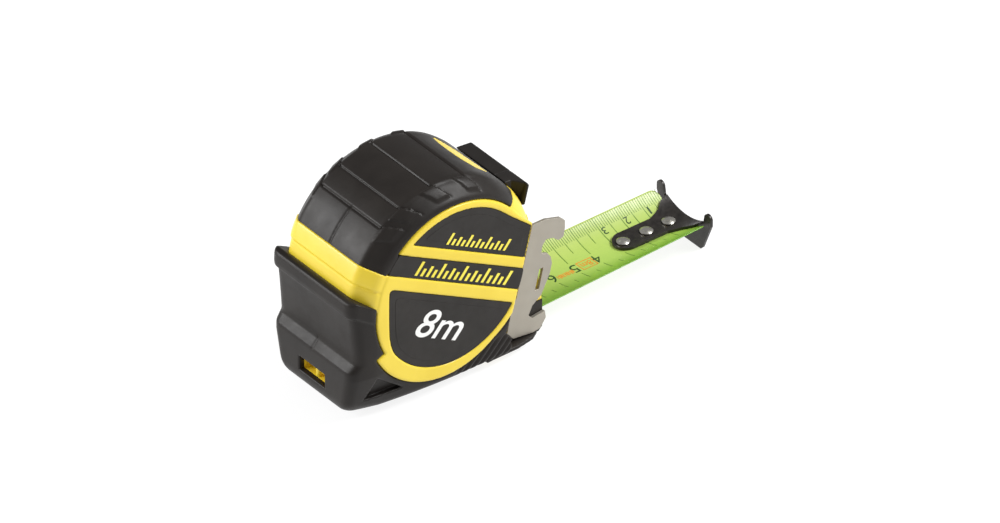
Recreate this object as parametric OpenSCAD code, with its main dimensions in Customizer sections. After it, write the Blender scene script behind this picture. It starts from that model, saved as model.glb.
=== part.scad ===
// Pocket tape measure, 8 m by 32 mm, with the blade drawn out past its 7 cm mark.
// Millimetres. X runs forward along the blade, Z up from the sole, Y across the case.
// The near side is -Y. The origin is the centre of the sole.

/* [Case] */
// Length of the case, back to jaw
case_len = 88; // [88:1:90]
// Width of the case over the side labels
case_w = 49; // [49:0.5:52]
// Radius of the round top
dome_r = 40.4; // [40:0.2:41]
// Thickness of the rubber grip
grip_t = 2; // [1.5:0.1:2.2]

/* [Blade] */
// Flat width of the blade
blade_w = 32; // [31:0.5:32]
// Thickness of the blade with its coatings
blade_t = 0.3; // [0.2:0.05:0.35]
// How far the blade stands out of the jaw
blade_out = 78; // [77.5:0.5:90]
// Depth of the blade's curve at the jaw
cup_in = 3.2; // [2.5:0.1:3.4]
// Depth of the blade's curve at the hook
cup_out = 5.8; // [5:0.1:5.8]

/* [End hook] */
// Play of the hook, its own thickness, for true inside and outside readings
hook_t = 1; // [0.8:0.1:1]
// Length of the hook's arm
arm_len = 31; // [30:1:33]
// Radius of the rivet heads
rivet_r = 2.5; // [2:0.1:2.6]

/* [Reel] */
// Outer radius of the wound tape
coil_r = 30.5; // [29:0.5:31]
// Radius of the drum under the tape
drum_r = 17; // [16:0.5:18]
// Radius of the centre post
post_r = 4; // [3:0.5:5]
// Turns of the power spring
spring_turns = 7; // [4:1:9]

/* [Catch plate] */
// Thickness of the steel catch plate
plate_t = 1.2; // [1:0.1:1.5]
// Radius of the two magnets that hold it
magnet_r = 4; // [3:0.5:4.5]

/* [Hidden] */
$fn = 96;
fit = 0.03;        // gap between moulded pieces of the case
run = 0.05;        // running clearance of the drum on its post
back_x = -case_len / 2;
jaw_x = case_len / 2;
half_w = case_w / 2;
dome_x = -1.3;             // axis of the dome, the reel and the thumb lock
dome_z = 41.3;
flat_half = 17;            // half width of the flat tread of the case
shoulder = half_w - flat_half;
shoulder_in = 7;           // how far the shoulder falls away
nose_half = 18.4;          // half width of the nose
nose_top = 48;
rim_h = 1.4;               // height of the sole's rim beside the nose
jaw_back = 29.5;           // where the black jaw starts
label_x = 0.3;             // centre of the round side label
label_z = 40.2;
ring_out = 34;
ring_in = 31.2;
tilt = -28;                // slope of the bands across the label
cavity_r = 33.4;
cavity_half = 18.2;
floor_z = 3.2;             // floor of the blade channel
channel_half = 16.7;
channel_top = 11.2;
channel_back = back_x + 3;
hook_x = jaw_x + blade_out;      // zero of the scale, inside face of the hook
tail_x = jaw_x - 7.2;            // inner end of the stiff stretch of blade
blade_low = 4.1;                 // underside of the blade at its middle
mouth_top = 13.2;
// Play of each lever: the thumb lock turns about the centre of the dome
lock_low = 21.5;
lock_high = 32.5;
lock_swing = 8;
lock_half = 16.3;
stem_half = 8;
shoe_half = 3.4;
shoe_x0 = 33.5;
shoe_x1 = 38.5;
shoe_z0 = 7.3;
screw_ring = 36;
screw_seat = 15.5;               // where the screw heads bear, deep in the far shell
magnet_at = [[35.4, 38], [35.4, 21]];
screw_at = [for (a = [55, 150]) [dome_x + screw_ring * cos(a), dome_z + screw_ring * sin(a)],
            [-36.5, 17.5], [27, 16.5]];

// ---- helpers -------------------------------------------------------------

// A side outline (X, Z) made solid from y0 to y1
module slab(y0, y1) {
    translate([0, y1, 0]) rotate([90, 0, 0]) linear_extrude(y1 - y0) children();
}

// A disc or ring seen from the side, about (x, z), from y0 to y1
module disc(x, z, r, y0, y1) {
    translate([x, y1, z]) rotate([90, 0, 0]) cylinder(h = y1 - y0, r = r);
}

module box(x0, x1, y0, y1, z0, z1) {
    translate([x0, y0, z0]) cube([x1 - x0, y1 - y0, z1 - z0]);
}

module far() {
    mirror([0, 1, 0]) children();
}

// ---- outline of the case, inset by d ------------------------------------

// Round top with its shoulder, near half
module dome(d) {
    intersection() {
        translate([dome_x, 0, dome_z]) rotate([90, 0, 0]) union() {
            cylinder(h = flat_half, r = dome_r - d);
            translate([0, 0, flat_half])
                cylinder(h = shoulder - d, r1 = dome_r - d, r2 = dome_r - shoulder_in - d);
        }
        box(back_x + d, jaw_x, -half_w, 0, 20, 100);
    }
}

// Lower body: a boat-shaped plan that widens upwards, cut to the side outline, near half
module lower_body(d) {
    intersection() {
        hull() {
            linear_extrude(0.1) polygon([
                [back_x + d, 0], [back_x + d, d - 14.8], [back_x + 2.2 + d, d - 17.4],
                [-30, d - 20.4], [-16, d - 22.4], [6, d - 23.2], [40, d - 23.2], [40, 0]]);
            translate([0, 0, 16]) linear_extrude(44) polygon([
                [back_x + d, 0], [back_x + d, d - 19.2], [back_x + 1.6 + d, d - 20.9],
                [-34, d - 24.1], [40, d - 24.1], [40, 0]]);
        }
        slab(-half_w, 0) polygon([
            [back_x + d, d + 8], [back_x + d + 2, d + 3], [back_x + d + 6, d], [22 - d, d],
            [23.6 - d, 9.8], [34.8 - d, 52.5], [30, 56], [back_x + 4 + d, 51.6],
            [back_x + d, 49.5]]);
    }
}

// Narrow nose in front of the label, near half, between two heights
module nose(d, z0, z1) {
    intersection() {
        slab(d - nose_half, 0) polygon([
            [20, 0], [jaw_x - 1.5 - d, 0], [jaw_x - d, 1.5], [jaw_x - d, mouth_top],
            [38.2 - d, nose_top], [20, nose_top]]);
        box(20, jaw_x, -half_w, 0, z0, z1);
    }
}

// Low rim of the sole that carries on round the nose
module sole_rim() {
    linear_extrude(rim_h) polygon([[18, 0], [18, -23], [32, -22.6], [39, -21], [41, -19],
                                   [41, -nose_half - fit], [jaw_back, -nose_half - fit],
                                   [jaw_back, 0]]);
}

// Front panel beside the round label, back to its slanted front edge
module front_panel(d) {
    polygon([[10, 10 + d], [23.4 - d, 10 + d], [34.3 - d, 51.8 - d], [22, 62.4 - d], [10, 50]]);
}

// Half-plane strip across the label between two offsets from its centre
module strip(s0, s1) {
    translate([label_x, label_z]) rotate(tilt) translate([-50, s0]) square([100, s1 - s0]);
}

// The horn in front and the band round the back, where yellow reaches the skin
module yellow_outline() {
    polygon([[14, 40], [33, 46], [34.8, 52.5], [28.3, 69.6], [23.6, 64.5], [14, 60]]);
    polygon([[-50, 50.4], [-50, 61.8], [-38.4, 61.8], [-24.2, 54], [-18, 50.7], [-20, 44],
             [-31, 44], [-33.2, 45.2], [-39.5, 49.2], [-41.5, 50.4]]);
}

// The raised pad under the side labels: the ring and the panel in front; g grows it
module pad_outline(g) {
    translate([label_x, label_z]) circle(r = ring_out + g);
    polygon([[10, 8 - g], [23.5 + g, 9.6 - g], [34.8 + g, 52.5 + g], [24, 64.4 + g], [10, 66 + g]]);
}

// Free space in front of the case beside the nose, where the catch plate sits
module front_space() {
    slab(-half_w - 1, -nose_half) polygon([
        [22, rim_h], [23.6, 9.6], [34.6, 51.6], [37.9, 49], [60, 49], [60, rim_h]]);
}

// ---- yellow shells -------------------------------------------------------

module reel_space() {
    disc(dome_x, dome_z, cavity_r, -cavity_half, 0.01);
    box(channel_back, 36, -channel_half, 0.01, floor_z, channel_top);
    // shaft of the brake shoe, and the slot of the thumb lock's stem
    box(shoe_x0 - 0.4, shoe_x1 + 0.4, -shoe_half - 0.4, 0.01, channel_top - 1, nose_top - 4);
    slab(-stem_half - 0.4, 0.01) polygon(concat(
        [[dome_x, dome_z]],
        [for (a = [lock_low - lock_swing - 2, lock_high + 2])
            [dome_x + 60 * cos(a), dome_z + 60 * sin(a)]]));
}

// Slot for a wrist strap, in a walled pocket over the path of the blade
module strap_pocket() {
    box(back_x - 1, back_x + 6.6, -7.2, 0.01, 7, 12.6);
}

module strap_walls() {
    box(back_x + grip_t, back_x + 7.6, -8.2, 0, 6.1, 13.6);
}

// Outside of the yellow shell, near half: under the grip, and out to the skin where it shows
module shell_outside() {
    dome(grip_t);
    lower_body(grip_t);
    nose(0, mouth_top + fit, nose_top);
    box(18, jaw_back, -nose_half, 0, rim_h + fit, 40);
    intersection() {
        dome(0);
        slab(-half_w, 0) yellow_outline();
    }
    slab(-half_w, -flat_half) pad_outline(0);
}

module shell_solid() {
    difference() {
        union() {
            difference() {
                shell_outside();
                reel_space();
                label_space();
                box(jaw_back, jaw_x, -half_w, 1, -1, mouth_top + fit);
                front_space();
            }
            strap_walls();
        }
        strap_pocket();
        disc(dome_x, dome_z, post_r + fit, -cavity_half - 2, 0);
        for (p = screw_at)
            disc(p[0], p[1], 1.55, -16.4, 0.01);
    }
}

// Recess of the three black label pieces
module label_space() {
    slab(-half_w - 1, -half_w + 1.2) label_outlines(0);
}

module label_outlines(d) {
    top_outline(d);
    band_outline(d);
    disc_outline(d);
}

module top_outline(d) {
    intersection() {
        union() {
            translate([label_x, label_z]) circle(r = ring_in - d);
            front_panel(d);
        }
        strip(14.2 + d, 60);
    }
}

module band_outline(d) {
    intersection() {
        union() {
            translate([label_x, label_z]) circle(r = ring_in - d);
            front_panel(d);
        }
        strip(1.85 + d, 9.8 - d);
    }
}

module disc_outline(d) {
    intersection() {
        translate([label_x, label_z]) circle(r = ring_in - d);
        strip(-60, -3.4 - d);
    }
}

module shell_near() {
    color("gold") difference() {
        shell_solid();
        for (p = magnet_at)
            disc(p[0], p[1], magnet_r + fit, -nose_half - 1, -nose_half + 2.03);
    }
}

module shell_far() {
    color("gold") difference() {
        far() shell_solid();
        for (p = screw_at)
            disc(p[0], p[1], 1.55, -0.01, half_w + 1);
        for (p = screw_at)
            disc(p[0], p[1], 2.9, screw_seat, half_w + 1);
        disc(clip_x, clip_z, 1.5, 19, half_w + 1);
    }
}

// ---- rubber grips --------------------------------------------------------

module grip_solid() {
    difference() {
        union() {
            dome(0);
            lower_body(0);
        }
        dome(grip_t - fit);
        lower_body(grip_t - fit);
        strap_walls();
        slab(-half_w - 1, 1) yellow_outline();
        slab(-half_w - 1, -flat_half) pad_outline(fit);
        slab(-stem_half - 0.4, 1) polygon(concat(
            [[dome_x, dome_z]],
            [for (a = [lock_low - lock_swing - 2, lock_high + 2])
                [dome_x + 60 * cos(a), dome_z + 60 * sin(a)]]));
        strap_pocket();
        front_space();
        box(channel_back, 36, -channel_half, 1, floor_z, channel_top);
        nose(-fit, -1, nose_top + fit);
        box(18, 50, -nose_half, 1, -1, 60);
    }
}

module grip_near() {
    color("dimgray") union() {
        grip_solid();
        sole_rim();
    }
}

module grip_far() {
    color("dimgray") difference() {
        far() union() {
            grip_solid();
            sole_rim();
        }
        for (p = screw_at)
            disc(p[0], p[1], 3.1, screw_seat, half_w + 1);
    }
}

// ---- side labels ---------------------------------------------------------

module label_slab() {
    slab(-half_w + 0.2, -half_w + 1.2 - fit) children();
}

module label_top_near() {
    color("darkslategray") label_slab() top_outline(fit);
}

module label_band_near() {
    color("darkslategray") label_slab() band_outline(fit);
}

module label_disc_near() {
    color("darkslategray") label_slab() disc_outline(fit);
}

module label_top_far() {
    color("darkslategray") difference() {
        far() label_slab() top_outline(fit);
        disc(clip_x, clip_z, 1.6, 19, half_w + 1);
    }
}

module label_band_far() {
    color("darkslategray") far() label_slab() band_outline(fit);
}

module label_disc_far() {
    color("darkslategray") far() label_slab() disc_outline(fit);
}

// ---- nose and mouth ------------------------------------------------------

// Black jaw: a trough that the blade slides through
module nose_jaw() {
    color("darkslategray") difference() {
        union() {
            nose(0, 0, mouth_top);
            far() nose(0, 0, mouth_top);
        }
        box(0, jaw_back + fit, -half_w, half_w, -1, 20);
        box(20, 50, -channel_half, channel_half, floor_z, 20);
        box(jaw_x - 1.5, 50, -12, 12, 1, floor_z + 1);
    }
}

// Rubber strip in the lip that takes the blow of the returning hook
module mouth_bumper() {
    color("dimgray") box(jaw_x - 1.5 + fit, jaw_x, -12 + fit, 12 - fit, 1 + fit, floor_z - fit);
}

// Bar across the strap slot at the back
module strap_bar() {
    color("gold") translate([back_x + 3.2, 0, 7]) cylinder(h = 5.6, r = 1);
}

module blade_guide() {
    color("white") box(jaw_x - 14, jaw_x - 7, -10, 10, floor_z, floor_z + 0.2);
}

module magnet(i) {
    color("silver") disc(magnet_at[i][0], magnet_at[i][1], magnet_r, -nose_half, -nose_half + 2);
}

module magnet_upper() {
    magnet(0);
}

module magnet_lower() {
    magnet(1);
}

module screw(i) {
    p = screw_at[i];
    color("silver") difference() {
        union() {
            disc(p[0], p[1], 1.5, -16, screw_seat);
            disc(p[0], p[1], 2.7, screw_seat, screw_seat + 1.4);
        }
        disc(p[0], p[1], 1, screw_seat + 0.4, screw_seat + 2, $fn = 6);
    }
}

module screw_1() {
    screw(0);
}

module screw_2() {
    screw(1);
}

module screw_3() {
    screw(2);
}

module screw_4() {
    screw(3);
}

// ---- reel ----------------------------------------------------------------

module centre_post() {
    color("gold") difference() {
        disc(dome_x, dome_z, post_r, -cavity_half - 1.8, cavity_half + 1.8);
        box(dome_x - 0.5, dome_x + 0.5, -15.4, 15.4, dome_z - 1, dome_z + 6);
    }
}

// Drum: barrel with its near flange and a sleeve that turns on the post
module drum() {
    color("lightgray") difference() {
        union() {
            disc(dome_x, dome_z, drum_r, -16.4, 16.3);
            disc(dome_x, dome_z, coil_r + 1, -17.4, -16.4);
        }
        disc(dome_x, dome_z, drum_r - 1.6, -16.2, 17);
        disc(dome_x, dome_z, post_r + run, -18, 18);
    }
}

module drum_cover() {
    color("lightgray") difference() {
        disc(dome_x, dome_z, coil_r + 1, 16.3 + fit, 17.3);
        disc(dome_x, dome_z, post_r + run, 16, 18);
    }
}

// Power spring: a flat spiral strip inside the drum
module power_spring() {
    steps = 24;
    r0 = post_r + 1.2;
    r1 = drum_r - 1.6 - 0.6;
    n = spring_turns * steps;
    function arm(i, w) =
        let (a = 360 * i / steps, r = r0 + (r1 - r0) * i / n + w) [r * cos(a), r * sin(a)];
    color("steelblue") translate([dome_x, 0, dome_z]) slab(-15.6, 15.6)
        polygon(concat([for (i = [0:n]) arm(i, 0)], [for (i = [n:-1:0]) arm(i, 0.3)]));
}

module wound_tape() {
    color("yellowgreen") difference() {
        disc(dome_x, dome_z, coil_r, -16, 16);
        disc(dome_x, dome_z, drum_r + 0.05, -17, 17);
    }
}

// Free stretch of tape from the bottom of the coil to the stiff blade
module tape_lead() {
    color("yellowgreen") slab(-15.4, 15.4) polygon([
        [dome_x, dome_z - coil_r - 0.5], [16, 9.6], [28, 7.4], [tail_x - 0.3, 6.6],
        [tail_x - 0.3, 6.3], [28, 7.1], [16, 9.3], [dome_x, dome_z - coil_r - 0.8]]);
}

// ---- blade ---------------------------------------------------------------

// Depth of the curve at x, and the radius that gives it at this flat width
function cup_at(x) = cup_in + (cup_out - cup_in) * (x - jaw_x) / blade_out;
function half_angle(depth) = 114.6 * 2 * depth / blade_w;
function blade_point(x, u, h) =
    let (a = half_angle(cup_at(x)), r = blade_w / 2 / (a * PI / 180), t = u * a)
    [x, (r - h) * sin(t), blade_low + r - (r - h) * cos(t)];

module blade_body(x0, x1) {
    across = 20;
    along = 12;
    ring = 2 * (across + 1);
    points = [for (i = [0:along]) let (x = x0 + (x1 - x0) * i / along) each concat(
        [for (j = [0:across]) blade_point(x, 2 * j / across - 1, 0)],
        [for (j = [across:-1:0]) blade_point(x, 2 * j / across - 1, blade_t)])];
    sides = [for (i = [0:along - 1]) for (j = [0:ring - 1])
        let (k = (j + 1) % ring, a = i * ring, b = a + ring) each
        [[a + j, a + k, b + k], [a + j, b + k, b + j]]];
    caps = [for (j = [0:across - 1]) for (e = [0, 1])
        let (o = e * along * ring, a = o + j, b = o + j + 1, c = o + ring - 2 - j, d = o + ring - 1 - j)
        each e == 0 ? [[a, c, b], [a, d, c]] : [[a, b, c], [a, c, d]]];
    polyhedron(points, concat(sides, caps));
}

rivet_x = [hook_x - 27.3, hook_x - 16.8, hook_x - 6.8];

module blade() {
    color("greenyellow") difference() {
        blade_body(tail_x, hook_x - hook_t - 0.2);
        for (x = rivet_x)
            box(x - 1.75, x + 1.75 + hook_t, -1.75, 1.75, 0, 10);
        for (side = [-1, 1])
            translate([hook_x, side * 15.5, 0]) rotate(45) cube([4.5, 4.5, 30], center = true);
    }
}

// ---- end hook ------------------------------------------------------------

// underside of the arm, and the radius of its trough, which follows the blade
arm_low = blade_low + blade_t + 0.15;
arc_r = 22.4;

module end_hook() {
    color("dimgray") difference() {
        union() {
            // arm with a round rear end, and the head that flares to the plate
            intersection() {
                linear_extrude(20) union() {
                    translate([hook_x - arm_len + 5, 0]) circle(r = 5);
                    translate([hook_x - arm_len + 5, -5]) square([arm_len - 5, 10]);
                    polygon([[hook_x - 11, -5], [hook_x - 6, -7], [hook_x - 3, -9.5],
                             [hook_x + hook_t, -10.6], [hook_x + hook_t, 10.6],
                             [hook_x - 3, 9.5], [hook_x - 6, 7], [hook_x - 11, 5]]);
                }
                translate([hook_x - 40, 0, arm_low + arc_r]) rotate([0, 90, 0]) difference() {
                    cylinder(h = 60, r = arc_r);
                    translate([0, 0, -1]) cylinder(h = 62, r = arc_r - 1);
                    translate([-60, -30, -1]) cube([60, 60, 70]);
                }
            }
            // upright plate with two horns and a tapered foot
            translate([hook_x, 0, 0]) rotate([90, 0, 90]) linear_extrude(hook_t)
                difference() {
                    union() {
                        polygon([[-15.4, 8.6], [-10.8, -2.6], [-9.8, -3.6], [9.8, -3.6], [10.8, -2.6],
                                 [15.4, 8.6], [15.4, 11], [11.6, 11], [11, 8],
                                 [-11, 8], [-11.6, 11], [-15.4, 11]]);
                        for (side = [-1, 1])
                            translate([side * 13.5, 11]) circle(r = 1.9);
                    }
                    intersection() {
                        translate([0, arm_low + arc_r]) circle(r = arc_r - 1.05);
                        translate([-11.3, 0]) square([22.6, 20]);
                    }
                }
        }
        for (x = rivet_x)
            translate([x, 0, 0]) cylinder(h = 10, r = 1.5 + 0.02);
    }
}

module hook_backing() {
    color("dimgray") difference() {
        intersection() {
            linear_extrude(20) union() {
                translate([hook_x - arm_len + 5, 0]) circle(r = 3);
                translate([hook_x - arm_len + 5, -3]) square([arm_len - 6, 6]);
            }
            box(0, hook_x - 0.5, -5, 5, floor_z + 0.3, blade_low - 0.1);
        }
        for (x = rivet_x)
            translate([x, 0, 0]) cylinder(h = 10, r = 1.5 + 0.02);
    }
}

module rivet(i) {
    color("silver") translate([rivet_x[i], 0, 0]) {
        translate([0, 0, floor_z + 0.3]) cylinder(h = 3.2, r = 1.5);
        translate([0, 0, arm_low + 1.25]) intersection() {
            cylinder(h = 1.1, r = rivet_r);
            translate([0, 0, 1.1 - 4.6]) sphere(r = 4.6);
        }
    }
}

module rivet_1() {
    rivet(0);
}

module rivet_2() {
    rivet(1);
}

module rivet_3() {
    rivet(2);
}

// ---- thumb lock and brake ------------------------------------------------

function on_dome(r, a) = [dome_x + r * cos(a), dome_z + r * sin(a)];

module lock_button() {
    ledge_r = dome_r + 0.4;
    color("dimgray") union() {
        slab(-lock_half, lock_half) polygon(concat(
            [for (a = [lock_low:1:lock_high]) on_dome(ledge_r, a)],
            [on_dome(dome_r + 1.2, lock_high + 0.2), on_dome(dome_r + 5.4, lock_high - 3.6),
             on_dome(dome_r + 5.3, lock_high - 4.6), on_dome(dome_r + 1.6, lock_low - 0.4),
             on_dome(dome_r + 0.8, lock_low - 0.6)]));
        slab(-stem_half, stem_half) polygon(concat(
            [for (a = [lock_low + 1:1:lock_high - 1]) on_dome(cavity_r - 1, a)],
            [for (a = [lock_high - 1:-1:lock_low + 1]) on_dome(ledge_r + 0.2, a)]));
    }
}

module brake_shoe() {
    color("dimgray") box(shoe_x0, shoe_x1, -shoe_half, shoe_half, shoe_z0, nose_top - 10);
}

// ---- catch plate ---------------------------------------------------------

plate_gap = 0.1;

module catch_plate() {
    color("silver") slab(-nose_half - plate_gap - plate_t, -nose_half - plate_gap)
        difference() {
            polygon([[38.4, 47.6], [44.4, 47.6], [51, 45.6], [53.1, 43.6], [53.1, 40.4],
                     [52.4, 37], [50.2, 36.3], [47.5, 38.5], [44.6, 39], [43, 36.8], [42.6, 33.8],
                     [45.4, 32.7], [46.8, 30.7], [47.3, 27.8], [46.4, 23.9], [42.5, 16.2],
                     [38.6, 13.3], [36.9, 9.8], [38.4, 8], [44.2, 8.8], [44.6, 5.8], [42.2, 2.2],
                     [38.6, 1.7], [30, 2.8], [27.2, 5.6], [28.6, 12.3], [28.8, 16.2],
                     [31.4, 19.4], [34.2, 30.7]]);
            polygon([[39.6, 19.2], [41.4, 19.2], [43.4, 27.6], [41.6, 27.6]]);
        }
}

// ---- belt clip on the far side -------------------------------------------

clip_x = -1;
clip_z = 60;
clip_half = 9;
clip_t = 1;

module clip_base() {
    color("silver") difference() {
        box(clip_x - clip_half, clip_x + clip_half, half_w, half_w + clip_t, 50, 66.6);
        disc(clip_x, clip_z, 1.6, half_w - 1, half_w + 2);
    }
}

module clip_tongue() {
    y0 = half_w + clip_t;
    color("silver") difference() {
        union() {
            disc_x(clip_x - clip_half, clip_x + clip_half, y0 + 1.2, 68.2, 1.2);
            rotate([90, 0, 90]) translate([0, 0, clip_x - clip_half])
                linear_extrude(2 * clip_half)
                polygon([[y0 + 1.2, 69.4], [y0 + 1.4, 68], [y0 + 4.2, 59], [y0 + 4.2, 40],
                         [y0 + 2.4, 30], [y0 + 4.4, 26], [y0 + 5.4, 26.4], [y0 + 3.5, 30],
                         [y0 + 5.2, 40], [y0 + 5.2, 59.4], [y0 + 2.4, 68.4]]);
        }
        disc(clip_x, clip_z, 3.6, y0 + 2, y0 + 8);
    }
}

module disc_x(x0, x1, y, z, r) {
    translate([x0, y, z]) rotate([0, 90, 0]) cylinder(h = x1 - x0, r = r);
}

module clip_screw() {
    color("silver") union() {
        disc(clip_x, clip_z, 1.45, 19.5, half_w + clip_t);
        disc(clip_x, clip_z, 3, half_w + clip_t, half_w + clip_t + 1.2);
    }
}

shell_near();
shell_far();
grip_near();
grip_far();
label_top_near();
label_band_near();
label_disc_near();
label_top_far();
label_band_far();
label_disc_far();
nose_jaw();
mouth_bumper();
strap_bar();
centre_post();
blade_guide();
screw_1();
screw_2();
screw_3();
screw_4();
magnet_upper();
magnet_lower();
drum();
drum_cover();
power_spring();
wound_tape();
tape_lead();
blade();
end_hook();
hook_backing();
rivet_1();
rivet_2();
rivet_3();
lock_button();
brake_shoe();
catch_plate();
clip_base();
clip_tongue();
clip_screw();
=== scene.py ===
import functools
import math

import bmesh
import bpy
import numpy as np
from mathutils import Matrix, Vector


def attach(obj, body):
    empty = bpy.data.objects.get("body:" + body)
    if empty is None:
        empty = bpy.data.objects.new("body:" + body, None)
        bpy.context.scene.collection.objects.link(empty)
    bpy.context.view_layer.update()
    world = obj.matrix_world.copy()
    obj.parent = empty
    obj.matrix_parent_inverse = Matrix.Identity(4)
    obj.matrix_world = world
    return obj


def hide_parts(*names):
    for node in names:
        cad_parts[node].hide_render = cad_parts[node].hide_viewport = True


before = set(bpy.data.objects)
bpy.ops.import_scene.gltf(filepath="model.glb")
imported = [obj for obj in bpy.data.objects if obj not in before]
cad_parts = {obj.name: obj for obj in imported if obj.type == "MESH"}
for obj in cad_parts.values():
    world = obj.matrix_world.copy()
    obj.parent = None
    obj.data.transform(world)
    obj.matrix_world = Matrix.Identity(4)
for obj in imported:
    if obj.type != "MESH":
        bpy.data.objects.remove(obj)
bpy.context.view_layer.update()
MM = 0.001

# ---- main sizes, in millimetres ----------------------------------------------

DOME = (-1.3, 41.3)        # axis of the dome in X and Z
DOME_R = 40.4
DOME_FOOT = 44             # height where the dome's rubber starts
TREAD = 17.0               # half width of the dome's tread
HALF_W = 24.5
NOSE_SIDE = 18.4           # half width of the nose
CATCH_SIDE = 18.43         # beyond it the front is cut clear for the catch plate
LABEL = (0.3, 40.2)        # centre of the round side label
RING_IN = 31.2
RING_OUT = 34.0
FACE = HALF_W - 0.2        # outer face of the black label pieces
TILT = math.radians(-28)   # slope of the bands
LABEL_TOP = 14.2           # offset across the slope where the top label piece starts
LABEL_BAND = (1.85, 9.8)   # the same for the middle piece
LABEL_DISC = -3.5          # and where the disc piece ends
JAW_X = 44.0
LOCK_LOW, LOCK_HIGH = 21.5, 32.5    # span of the thumb lock's stem, in degrees round the dome
HOOK_X = 122.0             # zero of the scale
BLADE_BACK = 36.8          # inner end of the stiff stretch
BLADE_FRONT = 120.8
BLADE_LOW = 4.1
BLADE_T = 0.3
BLADE_HALF = 16.0
CORNER_R = 3.2             # at the blade's front corners
INK_T = 0.03
INK_LIFT = 0.004           # between the blade's face and its print
PRINT_T = 0.06             # print on the label
CASE_CELL, LOCK_CELL, LABEL_CELL = 0.45, 0.3, 0.3     # cells of the moulded shapes


# ---- camera, light and floor --------------------------------------------------

CAMERA_DISTANCE = 6.0      # in metres: far enough for nearly parallel lines
FRAME_WIDTH = 0.3509       # metres across the picture at the object
FLOOR_Z = -0.0036          # the hook's foot reaches lowest
FLOOR_HALF = 3.0


def make_camera():
    toward = Vector((-0.504, -0.6455, 0.5736)).normalized()
    target = Vector((0.0355, -0.0051, 0.0255))
    data = bpy.data.cameras.new("camera")
    data.sensor_width = 36
    data.lens = data.sensor_width * CAMERA_DISTANCE / FRAME_WIDTH
    data.clip_start, data.clip_end = 1, 40
    camera = bpy.data.objects.new("camera", data)
    bpy.context.scene.collection.objects.link(camera)
    camera.location = target + toward * CAMERA_DISTANCE
    camera.rotation_euler = (-toward).to_track_quat("-Z", "Y").to_euler()
    bpy.context.scene.camera = camera


def area_light(name, place, size, power):
    data = bpy.data.lights.new(name, "AREA")
    data.shape = "RECTANGLE"
    data.size, data.size_y = size
    data.energy = power
    light = bpy.data.objects.new(name, data)
    bpy.context.scene.collection.objects.link(light)
    light.location = place
    aim = Vector((0.02, 0, 0.03)) - Vector(place)
    light.rotation_euler = aim.to_track_quat("-Z", "Y").to_euler()


def make_world():
    world = bpy.data.worlds.new("studio")
    bpy.context.scene.world = world
    world.use_nodes = True
    back = world.node_tree.nodes["Background"]
    back.inputs["Color"].default_value = (1, 1, 1, 1)
    back.inputs["Strength"].default_value = 0.30
    bpy.context.scene.view_settings.view_transform = "Standard"
    area_light("back_left", (-0.80, 0.62, 0.46), (0.7, 0.5), 12)
    area_light("front_right", (0.62, -0.42, 0.80), (0.5, 0.4), 13)
    area_light("near_side", (-0.18, -1.05, 0.42), (0.8, 0.4), 1)


# ---- materials ----------------------------------------------------------------

def principled(name, colour, rough, metal=0.0, coat=0.0, spec=0.5):
    m = bpy.data.materials.new(name)
    m.use_nodes = True
    b = m.node_tree.nodes["Principled BSDF"]
    b.inputs["Base Color"].default_value = (*colour, 1)
    b.inputs["Roughness"].default_value = rough
    b.inputs["Metallic"].default_value = metal
    b.inputs["Coat Weight"].default_value = coat
    b.inputs["Coat Roughness"].default_value = 0.25
    b.inputs["Specular IOR Level"].default_value = spec
    return m, m.node_tree.nodes, m.node_tree.links, b


def noise(nodes, links, scale, detail, stretch=None):
    coords = nodes.new("ShaderNodeTexCoord")
    tex = nodes.new("ShaderNodeTexNoise")
    tex.inputs["Scale"].default_value = scale
    tex.inputs["Detail"].default_value = detail
    if stretch:
        mapping = nodes.new("ShaderNodeMapping")
        mapping.inputs["Scale"].default_value = stretch
        links.new(coords.outputs["Object"], mapping.inputs["Vector"])
        links.new(mapping.outputs["Vector"], tex.inputs["Vector"])
    else:
        links.new(coords.outputs["Object"], tex.inputs["Vector"])
    return tex


def vary_colour(nodes, links, bsdf, source, low, high, start=0.35, end=0.65):
    ramp = nodes.new("ShaderNodeValToRGB")
    ramp.color_ramp.elements[0].position = start
    ramp.color_ramp.elements[0].color = (*low, 1)
    ramp.color_ramp.elements[1].position = end
    ramp.color_ramp.elements[1].color = (*high, 1)
    links.new(source.outputs["Fac"], ramp.inputs["Fac"])
    links.new(ramp.outputs["Color"], bsdf.inputs["Base Color"])


def vary_rough(nodes, links, bsdf, source, low, high):
    span = nodes.new("ShaderNodeMapRange")
    span.inputs["From Min"].default_value = 0.3
    span.inputs["From Max"].default_value = 0.7
    span.inputs["To Min"].default_value = low
    span.inputs["To Max"].default_value = high
    links.new(source.outputs["Fac"], span.inputs["Value"])
    links.new(span.outputs["Result"], bsdf.inputs["Roughness"])


def add_bump(nodes, links, bsdf, source, height_mm):
    bump = nodes.new("ShaderNodeBump")
    bump.inputs["Distance"].default_value = height_mm * MM
    links.new(source.outputs["Fac"], bump.inputs["Height"])
    links.new(bump.outputs["Normal"], bsdf.inputs["Normal"])


def moulded(name, low, high, rough, grain=2200, height=0.012, blotch=60, coat=0.0, spec=0.5):
    """Moulded plastic or rubber: slow colour and gloss drift, with a fine spark-eroded grain"""
    m, nodes, links, b = principled(name, high, sum(rough) / 2, coat=coat, spec=spec)
    vary_colour(nodes, links, b, noise(nodes, links, blotch, 4), low, high)
    vary_rough(nodes, links, b, noise(nodes, links, blotch * 4, 5), *rough)
    add_bump(nodes, links, b, noise(nodes, links, grain, 2), height)
    return m


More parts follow.
